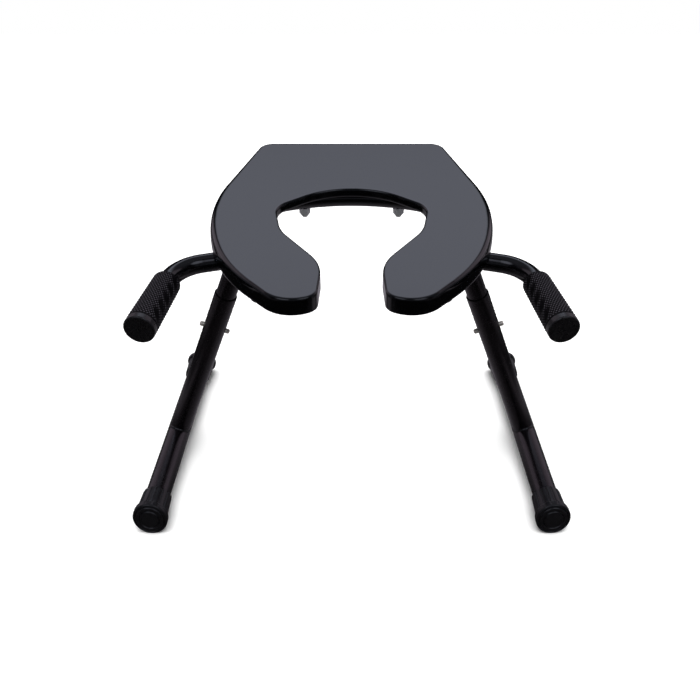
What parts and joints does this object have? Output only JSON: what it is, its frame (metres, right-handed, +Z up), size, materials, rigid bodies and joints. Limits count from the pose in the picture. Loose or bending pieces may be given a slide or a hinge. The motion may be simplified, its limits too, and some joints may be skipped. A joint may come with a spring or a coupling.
{
  "type": "shower stool",
  "caption": "Low shower stool with an open-front moulded seat, side hand grips and two splayed legs that telescope on floor rails, held by spring snap buttons.",
  "frame": {"origin": "centre of the stool's bounding box, on the floor under its feet", "axes": "+Z up, +X to the right for someone who faces the open front, -Y out of the open front"},
  "size_m": [0.5618, 0.4326, 0.3477],
  "materials": {
    "seat_plastic": "smooth moulded plastic, dark slate grey, soft gloss",
    "painted_tube": "charcoal black powder coat on steel tube, satin gloss",
    "weld": "painted over weld bead, same charcoal black",
    "grip_rubber": "black rubber with a fine diamond knurl, matt",
    "grip_cap_rubber": "black rubber, smooth, satin",
    "foot_rubber": "dark grey rubber, fluted collar, satin",
    "bumper_rubber": "black rubber, matt",
    "zinc": "zinc plated steel, dull bright",
    "nickel": "nickel plated steel, bright",
    "spring_steel": "plain spring steel",
    "nylon": "natural white nylon"
  },
  "bodies": {
    "seat_frame": {"seat": "seat_plastic", "seat_bolts": "zinc", "saddle_washers": "zinc", "lock_nuts": "zinc", "lock_rings": "nylon", "seat_bumpers": "bumper_rubber", "frame_tube": "painted_tube", "right_post": "painted_tube", "right_post_weld": "weld", "right_grip": "grip_rubber", "right_grip_cap": "grip_cap_rubber", "right_spring_clip": "spring_steel", "left_post": "painted_tube", "left_post_weld": "weld", "left_grip": "grip_rubber", "left_grip_cap": "grip_cap_rubber", "left_spring_clip": "spring_steel"},
    "right_leg": {"right_sleeve": "painted_tube", "right_sleeve_weld": "weld", "right_rail": "painted_tube", "right_front_foot": "foot_rubber", "right_rear_foot": "foot_rubber"},
    "right_outer_button": {"right_outer_button": "nickel"},
    "right_inner_button": {"right_inner_button": "nickel"},
    "left_leg": {"left_sleeve": "painted_tube", "left_sleeve_weld": "weld", "left_rail": "painted_tube", "left_front_foot": "foot_rubber", "left_rear_foot": "foot_rubber"},
    "left_outer_button": {"left_outer_button": "nickel"},
    "left_inner_button": {"left_inner_button": "nickel"}
  },
  "joints": [
    {"name": "right_leg_slide", "type": "slide", "parent": "seat_frame", "child": "right_leg", "axis": [0.3697, 0, -0.9291], "range_m": [-0.0381, 0.0381]},
    {"name": "right_outer_button_press", "type": "slide", "parent": "seat_frame", "child": "right_outer_button", "axis": [-0.9291, 0, -0.3697], "range_m": [0, 0.0072], "stiffness_N_per_m": 1500, "springref_m": -0.002, "deforming": ["right_spring_clip"]},
    {"name": "right_inner_button_press", "type": "slide", "parent": "seat_frame", "child": "right_inner_button", "axis": [0.9291, 0, 0.3697], "range_m": [0, 0.0072], "stiffness_N_per_m": 1500, "springref_m": -0.002, "deforming": ["right_spring_clip"]},
    {"name": "left_leg_slide", "type": "slide", "parent": "seat_frame", "child": "left_leg", "axis": [-0.3697, 0, -0.9291], "range_m": [-0.0381, 0.0381]},
    {"name": "left_outer_button_press", "type": "slide", "parent": "seat_frame", "child": "left_outer_button", "axis": [0.9291, 0, -0.3697], "range_m": [0, 0.0072], "stiffness_N_per_m": 1500, "springref_m": -0.002, "deforming": ["left_spring_clip"]},
    {"name": "left_inner_button_press", "type": "slide", "parent": "seat_frame", "child": "left_inner_button", "axis": [-0.9291, 0, 0.3697], "range_m": [0, 0.0072], "stiffness_N_per_m": 1500, "springref_m": -0.002, "deforming": ["left_spring_clip"]}
  ]
}
